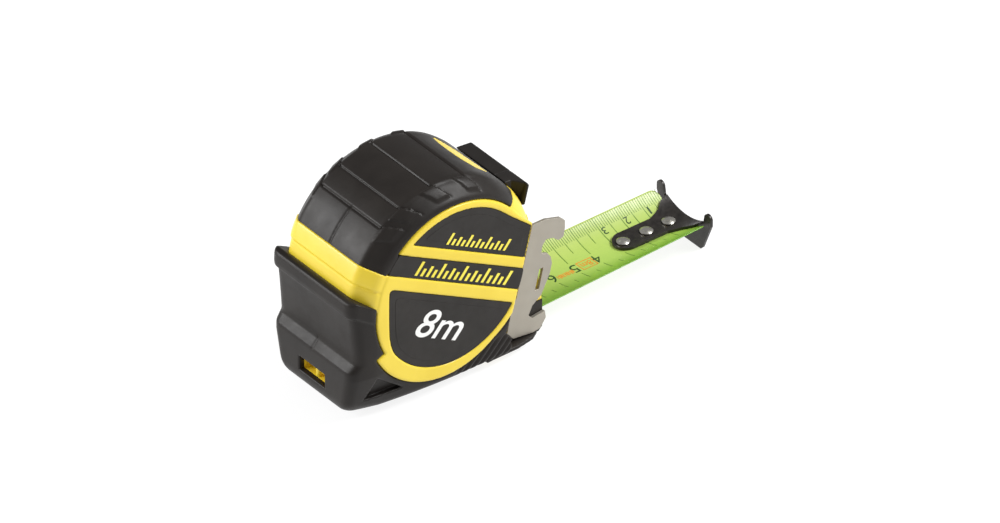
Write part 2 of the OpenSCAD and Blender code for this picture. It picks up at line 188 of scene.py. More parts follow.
def metal(name, low, high, rough, stretch=(1, 1, 1), grain=900, height=0.006, blotch=150, metalness=1.0):
    """Pressed or machined metal with a directional grain and faint handling marks"""
    m, nodes, links, b = principled(name, high, sum(rough) / 2, metal=metalness)
    vary_colour(nodes, links, b, noise(nodes, links, blotch, 6), low, high, 0.3, 0.7)
    vary_rough(nodes, links, b, noise(nodes, links, blotch * 2, 6), *rough)
    add_bump(nodes, links, b, noise(nodes, links, grain, 3, stretch), height)
    return m


def blade_paint():
    """Green film over steel, with painted shade that darkens it towards the near edge, and a faint mottle
    """
    m, nodes, links, b = principled("blade_green_and_shade", (0.52, 0.75, 0.14), 0.42, coat=0.25)
    coords = nodes.new("ShaderNodeTexCoord")
    split = nodes.new("ShaderNodeSeparateXYZ")
    links.new(coords.outputs["Object"], split.inputs["Vector"])
    # Painted shade: a colour ramp across the blade's width that makes the green darker towards the near
    # edge
    edge = (BLADE_HALF - 0.5) * MM
    across = nodes.new("ShaderNodeMapRange")
    across.inputs["From Min"].default_value = -edge
    across.inputs["From Max"].default_value = edge
    links.new(split.outputs["Y"], across.inputs["Value"])
    ramp = nodes.new("ShaderNodeValToRGB")
    stops = ramp.color_ramp.elements
    stops[0].position, stops[0].color = 0.0, (0.135, 0.325, 0.010, 1)
    stops[1].position, stops[1].color = 1.0, (0.41, 0.51, 0.125, 1)
    for place, colour in ((0.14, (0.205, 0.41, 0.030, 1)), (0.34, (0.34, 0.51, 0.090, 1))):
        stop = stops.new(place)
        stop.color = colour
    links.new(across.outputs["Result"], ramp.inputs["Fac"])
    mix = nodes.new("ShaderNodeMixRGB")
    mix.blend_type = "MULTIPLY"
    mix.inputs["Fac"].default_value = 0.25
    tint = nodes.new("ShaderNodeValToRGB")
    dull, clear = tint.color_ramp.elements
    dull.position, dull.color = 0.3, (0.88, 0.9, 0.8, 1)
    clear.position = 0.7
    links.new(noise(nodes, links, 90, 4).outputs["Fac"], tint.inputs["Fac"])
    links.new(ramp.outputs["Color"], mix.inputs["Color1"])
    links.new(tint.outputs["Color"], mix.inputs["Color2"])
    links.new(mix.outputs["Color"], b.inputs["Base Color"])
    vary_rough(nodes, links, b, noise(nodes, links, 300, 4), 0.36, 0.5)
    add_bump(nodes, links, b, noise(nodes, links, 1500, 2), 0.004)
    return m


MATERIALS = {
    "rubber": moulded("black_rubber", (0.012, 0.010, 0.009), (0.019, 0.016, 0.014), (0.36, 0.47),
                      grain=2600, height=0.014, blotch=45, spec=0.2),
    "yellow": moulded("yellow_plastic", (0.75, 0.56, 0.030), (0.79, 0.60, 0.040), (0.32, 0.45),
                      grain=1800, height=0.006, blotch=70, coat=0.12),
    "label": moulded("label_black", (0.014, 0.012, 0.010), (0.020, 0.017, 0.015), (0.5, 0.62),
                     grain=3400, height=0.014, blotch=80, spec=0.3),
    "black": moulded("black_plastic", (0.012, 0.010, 0.009), (0.020, 0.017, 0.015), (0.36, 0.5),
                     grain=2200, height=0.010, blotch=70, spec=0.22),
    "white": moulded("white_plastic", (0.70, 0.70, 0.67), (0.80, 0.80, 0.77), (0.4, 0.5)),
    "catch": metal("catch_steel", (0.37, 0.34, 0.29), (0.41, 0.38, 0.325), (0.5, 0.6),
                   (1, 1, 6), 1400, 0.0006, 200, 0.75),
    "clip": metal("clip_steel", (0.42, 0.42, 0.41), (0.55, 0.55, 0.53), (0.3, 0.42), (1, 1, 8), 600),
    "rivet": metal("rivet_steel", (0.58, 0.56, 0.51), (0.66, 0.64, 0.59), (0.24, 0.32), grain=1500,
                   height=0.0006, blotch=200),
    "zinc": metal("zinc_steel", (0.5, 0.5, 0.49), (0.65, 0.65, 0.63), (0.28, 0.4)),
    "nickel": metal("magnet_nickel", (0.55, 0.55, 0.53), (0.7, 0.7, 0.68), (0.15, 0.25)),
    "spring": metal("spring_steel", (0.20, 0.24, 0.30), (0.30, 0.34, 0.40), (0.25, 0.35)),
    "hook": metal("hook_black", (0.012, 0.010, 0.009), (0.030, 0.026, 0.023), (0.3, 0.46),
                  grain=1600, height=0.01, blotch=320, metalness=0.35),
    "blade": blade_paint(),
    "ink_green": moulded("ink_green", (0.10, 0.20, 0.02), (0.14, 0.26, 0.03), (0.4, 0.5)),
    "ink_dark": moulded("ink_dark", (0.012, 0.05, 0.006), (0.022, 0.08, 0.010), (0.4, 0.5)),
    "ink_orange": moulded("ink_orange", (0.62, 0.20, 0.012), (0.72, 0.26, 0.02), (0.4, 0.5)),
    "print_white": moulded("print_white", (0.78, 0.78, 0.76), (0.86, 0.86, 0.84), (0.4, 0.5)),
    "print_yellow": moulded("print_yellow", (0.80, 0.68, 0.05), (0.88, 0.76, 0.08), (0.4, 0.5)),
}
NODE_MATERIAL = {
    "label": ["label_top_near", "label_band_near", "label_disc_near", "label_top_far",
              "label_band_far", "label_disc_far"],
    "rubber": ["grip_near", "grip_far", "mouth_bumper"],
    "yellow": ["shell_near", "shell_far", "strap_bar", "centre_post"],
    "black": ["nose_jaw", "lock_button", "brake_shoe"],
    "white": ["blade_guide", "drum", "drum_cover"],
    "zinc": ["screw_1", "screw_2", "screw_3", "screw_4", "clip_screw"],
    "nickel": ["magnet_upper", "magnet_lower"],
    "spring": ["power_spring"],
    "blade": ["wound_tape", "tape_lead", "blade"],
    "hook": ["end_hook", "hook_backing"],
    "rivet": ["rivet_1", "rivet_2", "rivet_3"],
    "catch": ["catch_plate"],
    "clip": ["clip_base", "clip_tongue"],
}


# ---- mesh helpers ---------------------------------------------------------------

def make_mesh(name, verts_mm, faces, smooth=True):
    """A mesh from points in millimetres; faces of one size may come as an array"""
    mesh = bpy.data.meshes.new(name)
    verts = np.asarray(verts_mm, np.float32) * MM
    if isinstance(faces, np.ndarray):
        mesh.vertices.add(len(verts))
        mesh.vertices.foreach_set("co", verts.ravel())
        mesh.loops.add(faces.size)
        mesh.loops.foreach_set("vertex_index", faces.astype(np.int32).ravel())
        mesh.polygons.add(len(faces))
        width = faces.shape[1]
        mesh.polygons.foreach_set("loop_start", np.arange(0, faces.size, width, dtype=np.int32))
        mesh.update(calc_edges=True)
    else:
        mesh.from_pydata(verts.tolist(), [], faces)
    mesh.validate()
    mesh.polygons.foreach_set("use_smooth", [smooth] * len(mesh.polygons))
    return mesh


def adopt(name, mesh, material, body, cad=()):
    """Makes a mesh a piece that rides on a body and stands in for the CAD nodes in cad"""
    piece = bpy.data.objects.new(name, mesh)
    bpy.context.scene.collection.objects.link(piece)
    mesh.materials.append(MATERIALS[material])
    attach(piece, body)
    if cad:
        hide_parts(*cad)
    return piece


def new_piece(name, verts_mm, faces, material, body, smooth=True, cad=()):
    return adopt(name, make_mesh(name, verts_mm, faces, smooth), material, body, cad)


def apply_modifiers(piece):
    graph = bpy.context.evaluated_depsgraph_get()
    done = bpy.data.meshes.new_from_object(piece.evaluated_get(graph))
    piece.modifiers.clear()
    old = piece.data
    piece.data = done
    bpy.data.meshes.remove(old)


def decimate(piece, ratio):
    m = piece.modifiers.new("decimate", "DECIMATE")
    m.ratio = ratio
    apply_modifiers(piece)
    piece.data.polygons.foreach_set("use_smooth", [True] * len(piece.data.polygons))


def bevel(piece, width_mm):
    weld = piece.modifiers.new("weld", "WELD")
    weld.merge_threshold = 1e-6
    m = piece.modifiers.new("bevel", "BEVEL")
    m.width = width_mm * MM
    m.segments = 2
    m.limit_method = "ANGLE"
    m.angle_limit = math.radians(35)
    normal = piece.modifiers.new("normal", "WEIGHTED_NORMAL")
    normal.keep_sharp = True


def common(*fields):
    """The part that lies inside every one of the fields"""
    return functools.reduce(np.maximum, fields)


def union(*fields):
    return functools.reduce(np.minimum, fields)


def without(field, cut):
    return np.maximum(field, -cut)


def smooth_max(a, b, k):
    h = np.clip(0.5 + 0.5 * (a - b) / k, 0, 1)
    return b + (a - b) * h + k * h * (1 - h)


def smooth_min(a, b, k):
    return -smooth_max(-a, -b, k)


def polygon_field(a, b, points):
    """Signed distance in a plane to a closed outline, negative inside"""
    a, b = np.broadcast_arrays(a, b)
    best = np.full(a.shape, 1e9, np.float32)
    inside = np.zeros(a.shape, bool)
    for (a0, b0), (a1, b1) in zip(points, points[1:] + points[:1]):
        da, db = a1 - a0, b1 - b0
        t = np.clip(((a - a0) * da + (b - b0) * db) / (da * da + db * db), 0, 1)
        best = np.minimum(best, np.hypot(a - a0 - t * da, b - b0 - t * db))
        if db:
            inside ^= ((b0 > b) != (b1 > b)) & (a < a0 + (b - b0) * da / db)
    return np.where(inside, -best, best).astype(np.float32)


def surface_net(field, low, cell):
    """Vertices and quads on the zero level of a field"""
    inside = field < 0
    n = np.array(field.shape)
    corners = [(i, j, k) for i in (0, 1) for j in (0, 1) for k in (0, 1)]
    count = np.zeros(n - 1, np.int8)
    for i, j, k in corners:
        count += inside[i:n[0] - 1 + i, j:n[1] - 1 + j, k:n[2] - 1 + k]
    active = (count > 0) & (count < 8)
    cells = np.argwhere(active)
    index = np.full(active.shape, -1, np.int32)
    index[active] = np.arange(len(cells))
    total = np.zeros((len(cells), 3))
    hits = np.zeros(len(cells))
    ci, cj, ck = cells.T
    for corner in corners:
        va = field[ci + corner[0], cj + corner[1], ck + corner[2]]
        for axis in range(3):
            if corner[axis]:
                continue
            end = list(corner)
            end[axis] = 1
            vb = field[ci + end[0], cj + end[1], ck + end[2]]
            cross = (va < 0) != (vb < 0)
            t = va[cross] / (va[cross] - vb[cross])
            point = np.tile(np.array(corner, float), (len(t), 1))
            point[:, axis] += t
            total[cross] += point
            hits[cross] += 1
    verts = np.array(low) + cell * (cells + total / hits[:, None])
    quads = []
    for axis in range(3):
        u, v = (axis + 1) % 3, (axis + 2) % 3
        head = [slice(None)] * 3
        tail = [slice(None)] * 3
        head[axis], tail[axis] = slice(0, -1), slice(1, None)
        a, b = inside[tuple(head)], inside[tuple(tail)]
        edges = np.argwhere(a != b)
        eu, ev = edges[:, u], edges[:, v]
        edges = edges[(eu > 0) & (ev > 0) & (eu < n[u] - 1) & (ev < n[v] - 1)]
        around = []
        for du, dv in ((-1, -1), (0, -1), (0, 0), (-1, 0)):
            c = edges.copy()
            c[:, u] += du
            c[:, v] += dv
            around.append(index[c[:, 0], c[:, 1], c[:, 2]])
        quad = np.stack(around, 1)
        flip = ~a[edges[:, 0], edges[:, 1], edges[:, 2]]
        quad[flip] = quad[flip][:, ::-1]
        quads.append(quad)
    return verts, np.concatenate(quads)


class Grid:
    """A block of sample points, as arrays that broadcast together"""

    def __init__(self, low, high, cell):
        self.low, self.cell = np.array(low, float), cell
        steps = [np.arange(a, b + cell, cell, dtype=np.float32) for a, b in zip(low, high)]
        self.x = steps[0][:, None, None]
        self.y = steps[1][None, :, None]
        self.z = steps[2][None, None, :]
        self.shape = tuple(len(s) for s in steps)
        self.ay = np.abs(self.y)
        self.r = np.hypot(self.x - DOME[0], self.z - DOME[1])
        theta = np.degrees(np.arctan2(self.z - DOME[1], self.x - DOME[0]))
        self.theta = np.where(theta < -90, theta + 360, theta)     # degrees round the dome

    def surface(self, field):
        field = np.ascontiguousarray(np.broadcast_to(field, self.shape), np.float32)
        return surface_net(field, self.low, self.cell)


def split_halves(g, field, near, far, material):
    """Cuts one solid on the middle plane into two closed pieces; near and far are (name, CAD node)"""
    whole = bpy.data.objects.new("whole", make_mesh("whole", *g.surface(field)))
    bpy.context.scene.collection.objects.link(whole)
    decimate(whole, 0.5)
    for side, (name, node) in ((1, near), (-1, far)):
        work = bmesh.new()
        work.from_mesh(whole.data)
        geom = work.verts[:] + work.edges[:] + work.faces[:]
        cut = bmesh.ops.bisect_plane(work, geom=geom, dist=1e-7, plane_co=(0, 0, 0),
                                     plane_no=(0, side, 0), clear_outer=True)
        rim = [e for e in cut["geom_cut"] if isinstance(e, bmesh.types.BMEdge)]
        cap = bmesh.ops.triangle_fill(work, use_beauty=True, edges=rim, normal=(0, side, 0))
        for face in cap["geom"]:
            if isinstance(face, bmesh.types.BMFace):
                face.smooth = False
        for edge in rim:
            edge.smooth = False
        bmesh.ops.recalc_face_normals(work, faces=work.faces[:])
        mesh = bpy.data.meshes.new(name)
        work.to_mesh(mesh)
        work.free()
        adopt(name, mesh, material, "case", [node])
    bpy.data.objects.remove(whole)


def contour(field, low, cell):
    """The longest closed loop round the negative part of a plane field"""
    inside = field < 0
    links, hits = {}, {}

    def crossing(c, d, point):
        for p, q in ((c, d), (d, c)):
            links.setdefault(p, []).append(q)
            hits.setdefault(p, []).append(point)

    for i, j in np.argwhere(inside[:-1] != inside[1:]):
        t = field[i, j] / (field[i, j] - field[i + 1, j])
        crossing((i, j - 1), (i, j), (i + t, float(j)))
    for i, j in np.argwhere(inside[:, :-1] != inside[:, 1:]):
        t = field[i, j] / (field[i, j] - field[i, j + 1])
        crossing((i - 1, j), (i, j), (float(i), j + t))
    best, seen = [], set()
    for start in links:
        if start in seen:
            continue
        loop, here = [], start
        while here is not None:
            seen.add(here)
            loop.append(here)
            here = next((c for c in links[here] if c not in seen), None)
        if len(loop) > len(best):
            best = loop
    points = np.array([np.mean(hits[c], axis=0) for c in best]) * cell + np.array(low)
    nxt = np.roll(points, -1, axis=0)
    area = np.sum(points[:, 0] * nxt[:, 1] - nxt[:, 0] * points[:, 1])
    return points if area > 0 else points[::-1]


def side_plate(name, loop, y_out, y_in, edge, far, cad=()):
    """A flat black plate with a side outline, from y_in out to y_out (negative, on the near side)"""
    n = len(loop)
    verts = [(x, y, z) for y in (y_out, y_in) for x, z in loop]
    faces = [list(range(n)), list(range(2 * n - 1, n - 1, -1))]
    faces += [[i, i + n, (i + 1) % n + n, (i + 1) % n] for i in range(n)]
    if far:
        verts = [(x, -y, z) for x, y, z in verts]
        faces = [f[::-1] for f in faces]
    piece = new_piece(name, verts, faces, "label", "case", smooth=False, cad=cad)
    m = piece.modifiers.new("bevel", "BEVEL")
    m.width, m.segments, m.limit_method = edge * MM, 2, "ANGLE"
    m.angle_limit = math.radians(50)
    apply_modifiers(piece)


# ---- outlines of the side label, in the plane of X and Z --------------------------

def disc_field(x, z, centre, radius):
    return np.hypot(x - centre[0], z - centre[1]) - radius


# corners in X and Z, unless it says otherwise
PANEL = [(8.0, 9.8), (23.4, 9.8), (34.4, 51.8), (22.0, 62.4), (8.0, 62.0)]
PANEL_EDGE = [(8.0, 19.6), (26.4, 19.6), (35.1, 52.6), (23.0, 64.2), (8.0, 66.0)]
HORN = [(29.6, 69.8), (30.6, 66.5), (30.5, 64.3), (29.3, 62.8), (27.4, 62.5), (25.6, 63.1),
        (22.7, 64.6), (14.0, 60.0), (20.0, 45.0), (60.0, 45.0), (60.0, 62.0), (34.0, 68.0)]
CRESCENT = [(11.8, 20.0), (8.0, 19.4), (4.0, 19.2), (0.0, 19.3), (-5.0, 19.8), (-9.8, 21.4),
            (-10.2, 24.3), (-5.0, 23.8), (0.0, 23.2), (4.0, 22.5), (8.0, 21.4)]   # Y and X, on top
BACK_BAND = [(-60.0, 50.5), (-60.0, 61.8), (-38.6, 61.8), (-36.9, 60.4), (-24.2, 53.8), (-16.0, 49.6),
             (-16.0, 44.0), (-31.0, 44.0), (-33.2, 45.3), (-39.5, 49.2), (-41.5, 50.4)]
BAND_STEP = [(-60.0, 56.2), (-60.0, 90.0), (-10.0, 90.0), (-10.0, 42.5), (-30.7, 51.0), (-38.6, 54.8),
             (-41.0, 56.0)]       # everything above the step along the back band
STRIP_END = [(-60.0, 20.0), (-19.0, 20.0), (-19.0, 80.0), (-60.0, 80.0)]
FRONT_CUT = [(26.6, 1.4), (26.6, 6.8), (24.1, 10.6), (35.1, 52.4), (37.9, 49.0), (90.0, 49.0),
             (90.0, 1.4)]
NOSE = [(18.0, 0.1), (44.0, 0.1), (44.0, 13.2), (39.4, 43.0), (37.4, 52.0), (18.0, 52.0)]
RECESS = [(-37.4, 6.6), (-33.2, 15.4), (-21.5, 6.2)]      # low on each side, at the back
SOLE_RIM = [(16.0, -2.0), (16.0, 23.0), (30.0, 22.7), (37.5, 21.4), (41.0, 19.2),
            (41.0, -2.0)]     # X and half width
BACK_PROFILE = (  # height, and how far back the rubber reaches there
    (-5, -44.0), (19.2, -44.0), (20.2, -43.75), (23.0, -41.2), (24.2, -41.0), (30, -41.4),
    (38, -42.1), (43.0, -42.7), (43.9, -43.7), (46, -43.95), (49.0, -43.7), (50.6, -42.9), (60, -40))
CORE_BACK = ((0, -42.2), (18, -42.0), (24, -39.2), (60, -38.6))      # the same for the core under it
TOP_EDGE = ((-41.5, 50.5), (-39.5, 49.4), (-33.0, 45.4), (-20.0, 38.0))  # X, and the lower body's top


def band_across(x, z, low, high):
    """A slanted band between two offsets from the label's centre"""
    across = (z - LABEL[1]) * math.cos(TILT) - (x - LABEL[0]) * math.sin(TILT)
    return np.maximum(low - across, across - high)


def label_fields(x, z):
    """The three black label pieces: top, band and disc"""
    round_part = disc_field(x, z, LABEL, RING_IN)
    full = smooth_min(round_part, polygon_field(x, z, PANEL), 0.5)
    top = smooth_max(full, band_across(x, z, LABEL_TOP, 80), 0.8)
    left_open = np.minimum(full, np.maximum(disc_field(x, z, LABEL, RING_OUT - 0.3),
                                            polygon_field(x, z, STRIP_END)))
    band = smooth_max(left_open, band_across(x, z, *LABEL_BAND), 0.6)
    disc = smooth_max(round_part, band_across(x, z, -60, LABEL_DISC), 0.8)
    disc = smooth_max(disc, -28.3 - x, 3.0)
    return top, band, disc


def pad_field(x, z):
    """Outline of the raised yellow ring with its crescent and the panel in front"""
    ring = disc_field(x, z, LABEL, RING_OUT)
    angle = np.degrees(np.arctan2(z - LABEL[1], x - LABEL[0]))
    crescent = common(disc_field(x, z, (-2.9, 37.96), 33.9), -(angle + 153.5) * 0.6, (angle + 45) * 0.6)
    pad = smooth_min(np.minimum(ring, crescent), polygon_field(x, z, PANEL_EDGE), 1.0)
    strip_end = np.maximum(band_across(x, z, *LABEL_BAND), polygon_field(x, z, STRIP_END))
    inner_ring = RING_IN - 1 - np.hypot(x - LABEL[0], z - LABEL[1])
    return smooth_max(pad, -np.maximum(strip_end, inner_ring), 0.5)


# ---- the case: rubber grips and yellow shells ---------------------------------------

RIB_LINES = (128.2, 115.0, 94.3, 73.2, 50.0)   # where the panels of the tread step, in degrees
STEP = 0.35                  # rise at each line, and of the pads at the lines' ends
PAD = 0.55


def tread_offset(theta, ay):
    """How far the tread stands proud: shallow steps between its panels, and raised pads on the shoulder"""
    shift = theta + 1.35 * np.clip(ay - 16.5, 0, 6)
    out = np.zeros(np.broadcast(theta, ay).shape, np.float32)
    on_tread = np.clip((18.0 - ay) / 1.0, 0, 1)
    on_shoulder = np.clip((ay - 17.3) / 0.3, 0, 1) * np.clip((22.2 - ay) / 0.5, 0, 1)
    for lower, upper in zip(RIB_LINES, RIB_LINES[1:]):
        part = (shift <= lower) & (shift > upper)
        out += np.where(part, STEP * (shift - upper) / (lower - upper), 0) * on_tread
    for line in RIB_LINES[:-1]:
        pad = np.clip((shift - line) / 0.5, 0, 1) * np.clip((line + 9.5 - shift) / 0.5, 0, 1)
        out += PAD * pad * on_shoulder
        out -= 0.5 * np.exp(-((shift - line - 0.3) / 0.42) ** 2) * np.clip((22.6 - ay) / 0.5, 0, 1)
    seam = np.exp(-(ay / 0.42) ** 2) * (shift > RIB_LINES[0])
    return out - 0.35 * seam


def dome_field(r, ay, proud, round_over=1.2):
    tread = r - DOME_R + 0.35
    slope = 0.731 * (r - DOME_R) + 0.682 * (ay - TREAD) - 0.25 - 0.22 * (round_over - 1.2)
    d = smooth_max(tread, slope, round_over) - proud
    return smooth_max(d, ay - HALF_W + 0.35, 1.4)


def half_width(x, z):
    """Half the width of the lower body: a boat shape at the sole that fills out to the label's face"""
    sole = 23.3 - 5.4 * (np.clip(6 - x, 0, 60) / 50) ** 1.8
    full = 24.25 - 2.0 * (np.clip(-33.5 - x, 0, 20) / 10) ** 1.4
    return sole + (full - sole) * np.clip(z / 17, 0, 1) ** 0.8


def lower_field(x, ay, z, back, top):
    d = smooth_max(back - x, 0.985 * (ay - half_width(x, z)), 3.6)
    d = smooth_max(d, -z, 3.2 + 3.2 * np.clip((-30 - x) / 12, 0, 1))
    return smooth_max(d, z - top, 0.9)


def groove_field(x, z):
    """Slanted grip grooves along the lower front edge"""
    wave = np.cos((x - 0.9 * z) * 2 * math.pi / 3.6)
    window = np.clip((x - 1) / 3, 0, 1)
    window = window * np.clip((10.5 - z) / 1.5, 0, 1) * np.clip((z - 0.6) / 1.5, 0, 1)
    return 0.55 * np.clip(wave, -0.3, 0.8) * window


def front_plane(x, z):
    """The lower body's slanted front edge, which steps forward under the catch plate's foot"""
    return 0.968 * (x - 24.2) - 0.254 * (z - 9.8) - 4.0 * np.clip((9.6 - z) / 3.4, 0, 1)


def rubber_skin(g, round_over):
    """The outside of the rubber before anything is cut from it"""
    x, z, ay = g.x, g.z, g.ay
    dome = np.maximum(dome_field(g.r, ay, tread_offset(g.theta, ay), round_over), DOME_FOOT - z)
    back = np.interp(z, *zip(*BACK_PROFILE)).astype(np.float32)
    back = back + 0.3 * np.exp(-(g.y / 0.5) ** 2) * (z > 19.5) * (z < 24)
    top_edge = np.interp(x, *zip(*TOP_EDGE)).astype(np.float32)
    lower = lower_field(x, ay, z, back, top_edge)
    side_lip = np.clip((z - top_edge + 7.5) / 1.2, 0, 1) * np.clip((-32 - x) / 4, 0, 1) * 0.5
    lower = smooth_max(lower - side_lip, front_plane(x, z), 1.2)
    rubber = np.minimum(dome, lower)
    rubber = smooth_max(rubber, -np.maximum(polygon_field(x, z, RECESS), -2.0 - rubber), 0.4)
    return rubber + np.where(ay > 17, groove_field(x, z), 0)


def core_field(g):
    """What lies under the rubber"""
    x, z, ay = g.x, g.z, g.ay
    under_dome = np.maximum(dome_field(g.r, ay, 0.0) + 2.0, DOME_FOOT - z)
    back = np.interp(z, *zip(*CORE_BACK)) + 0 * x
    under_lower = lower_field(x, ay, z, back, 51.0) + 1.6
    under_lower = smooth_max(under_lower, front_plane(x, z) + 0.8, 1.0)
    recess = common(polygon_field(x, z, RECESS) - 3.0, 17.2 - ay)
    return without(union(under_dome, under_lower), recess)


def yellow_skin(g, round_over, open_yellow):
    """The dome where it shows yellow: a little below the rubber, with a step along the back band"""
    x, z = g.x, g.z
    above = polygon_field(x, z, BAND_STEP)
    step = np.clip(0.18 - above, -0.15, 0.55) * np.clip((-10 - x) / 6, 0, 1)
    yellow = dome_field(g.r, g.ay, step, round_over)
    front_bulge = np.clip((x - 24) / 8, 0, 1) * 0.3
    yellow = np.maximum(yellow - front_bulge, 40 - z)
    yellow = np.maximum(yellow, open_yellow - 1.2)
    return yellow + 0.3 * np.exp(-((above - 0.2) / 0.35) ** 2) * (x < -26)


def case_fields(g):
    """The rubber and the yellow shells, each as one solid across both halves"""
    x, z, ay, theta = g.x, g.z, g.ay, g.theta
    front = common(polygon_field(x, z, FRONT_CUT), CATCH_SIDE - ay)
    nose = common(ay - NOSE_SIDE, polygon_field(x, z, NOSE))
    stem = common(ay - 8.4, np.maximum(theta - LOCK_HIGH + 0.3, LOCK_LOW - 10 - theta) * 0.7)
    channel = common(ay - 16.7, np.abs(z - 7.2) - 4.0, x - 60, -41 - x)
    slot = common(ay - 7.2, np.abs(z - 9.8) - 2.8, x + 37.4)
    slot_wall = common(ay - 8.2, np.abs(z - 9.8) - 3.7, x + 36.4, -42.4 - x)
    core = core_field(g)
    pad_edge = pad_field(x, z)
    band = polygon_field(x, z, BACK_BAND)
    crescent = polygon_field(g.y, x, CRESCENT)
    beside_lock = 11.2 + np.where(theta > 32, 2.0, -0.42) * (theta - 32) - ay
    horn = np.maximum(polygon_field(x, z, HORN), np.where(theta > 19.5, 0.8 * beside_lock, -9))
    round_over = np.interp(theta, (55, 105), (3.4, 1.2)).astype(np.float32)

    open_yellow = union(horn, band, np.maximum(pad_edge, TREAD - ay), np.maximum(crescent - 0.35, 60 - z))
    rubber = smooth_max(rubber_skin(g, round_over), 0.12 - open_yellow, 0.9)
    rubber = without(rubber, union(front, nose - 0.1))
    rubber = without(without(rubber, stem), core - 0.12)
    sole = polygon_field(x, g.y * 0 + ay, SOLE_RIM)
    rubber = union(rubber, common(sole, z - 1.5, -z, CATCH_SIDE - ay))
    rubber = smooth_max(without(rubber, channel), -slot, 0.5)

    yellow = yellow_skin(g, round_over, union(band, horn, crescent))
    pad = smooth_max(pad_edge, ay - HALF_W, 0.8)
    yellow = union(yellow, np.maximum(pad, 16 - ay), core, nose)
    labels = union(*label_fields(x, z)) - 0.12
    yellow = smooth_max(yellow, -np.maximum(labels, 23.2 - ay), 0.35)
    cavity = common(disc_field(x, z, DOME, 33.4), ay - 18.2)
    yellow = union(without(yellow, union(cavity, channel)), slot_wall)
    brake_shaft = common(33.1 - x, x - 38.9, ay - 3.8, np.abs(z - 26) - 18)
    for cut in (slot, front, common(29.5 - x, z - 13.25), stem, brake_shaft):
        yellow = without(yellow, cut)
    return rubber, yellow


def make_case():
    g = Grid((-46, -25.65, -1), (46, 25.65, 84.5), CASE_CELL)
    rubber, yellow = case_fields(g)
    split_halves(g, rubber, ("rubber_near", "grip_near"), ("rubber_far", "grip_far"), "rubber")
    split_halves(g, yellow, ("casing_near", "shell_near"), ("casing_far", "shell_far"), "yellow")


# ---- labels -----------------------------------------------------------------------

def label_frame(far):
    """Origin, right, up and outward directions of the writing on one side's label"""
    c, s = math.cos(TILT), math.sin(TILT)
    if far:
        return (np.array([LABEL[0], FACE, LABEL[1]]), np.array([-c, 0, -s]), np.array([-s, 0, c]),
                np.array([0, 1, 0]))
    return (np.array([LABEL[0], -FACE, LABEL[1]]), np.array([c, 0, s]), np.array([-s, 0, c]),
            np.array([0, -1, 0]))


def boxes_on(place, boxes, thick):
    """Closed thin boxes from flat four-corner outlines; place(u, v, h) gives a point"""
    verts, faces = [], []
    for corners in boxes:
        o = len(verts)
        verts += [place(u, v, 0) for u, v in corners] + [place(u, v, thick) for u, v in corners]
        faces += [[o + 3, o + 2, o + 1, o], [o + 4, o + 5, o + 6, o + 7]]
        faces += [[o + i, o + (i + 1) % 4, o + (i + 1) % 4 + 4, o + i + 4] for i in range(4)]
    return verts, faces


def text_outline(body, size, weight, slant):
    """Flat triangles of a short generic text, centred, and the edges round them"""
    curve = bpy.data.curves.new("text", "FONT")
    curve.body = body
    curve.size = size
    curve.offset = weight
    curve.shear = slant
    curve.align_x, curve.align_y = "CENTER", "CENTER"
    curve.resolution_u = 8
    temp = bpy.data.objects.new("text", curve)
    bpy.context.scene.collection.objects.link(temp)
    graph = bpy.context.evaluated_depsgraph_get()
    mesh = bpy.data.meshes.new_from_object(temp.evaluated_get(graph))
    work = bmesh.new()
    work.from_mesh(mesh)
    bmesh.ops.remove_doubles(work, verts=work.verts, dist=size * 0.002)
    bmesh.ops.triangulate(work, faces=work.faces)
    points = np.array([v.co[:2] for v in work.verts])
    faces = [[v.index for v in f.verts] for f in work.faces]
    rim = []                   # boundary edges, in the sense of their triangles
    for edge in work.edges:
        if edge.is_boundary:
            corner = edge.link_loops[0]
            rim.append((corner.vert.index, corner.link_loop_next.vert.index))
    work.free()
    bpy.data.objects.remove(temp)
    return points - (points.min(0) + points.max(0)) / 2, faces, rim


def text_piece(name, body, size, place, thick, material, rides, weight, fit, slant=0.0):
    """Writing as a thin closed solid of the width and height in fit, laid by place(u, v, h)"""
    points, faces, rim = text_outline(body, size, weight, slant)
    points = points * (np.array(fit) / (points.max(0) - points.min(0)))
    n = len(points)
    verts = [place(u, v, 0) for u, v in points] + [place(u, v, thick) for u, v in points]
    sides = [[a + n, b + n, b, a][::-1] for a, b in rim]
    solid = [f[::-1] for f in faces] + [[i + n for i in f] for f in faces] + sides
    return new_piece(name, verts, solid, material, rides, smooth=False)


def slanted_ticks(far, count, pitch, first, base, width, heights):
    """A row of slanted marks: every fourth one tall, the others by turns middling and short"""
    tall, middle, short = heights
    ticks = []
    for i in range(count):
        rise = tall if i % 4 == 0 else middle if i % 2 == 0 else short
        u = (first + i * pitch) * (-1 if far else 1)
        lean = 0.22 * rise
        ticks.append([(u, base), (u + width, base), (u + width + lean, base + rise),
                      (u + lean, base + rise)])
    return ticks


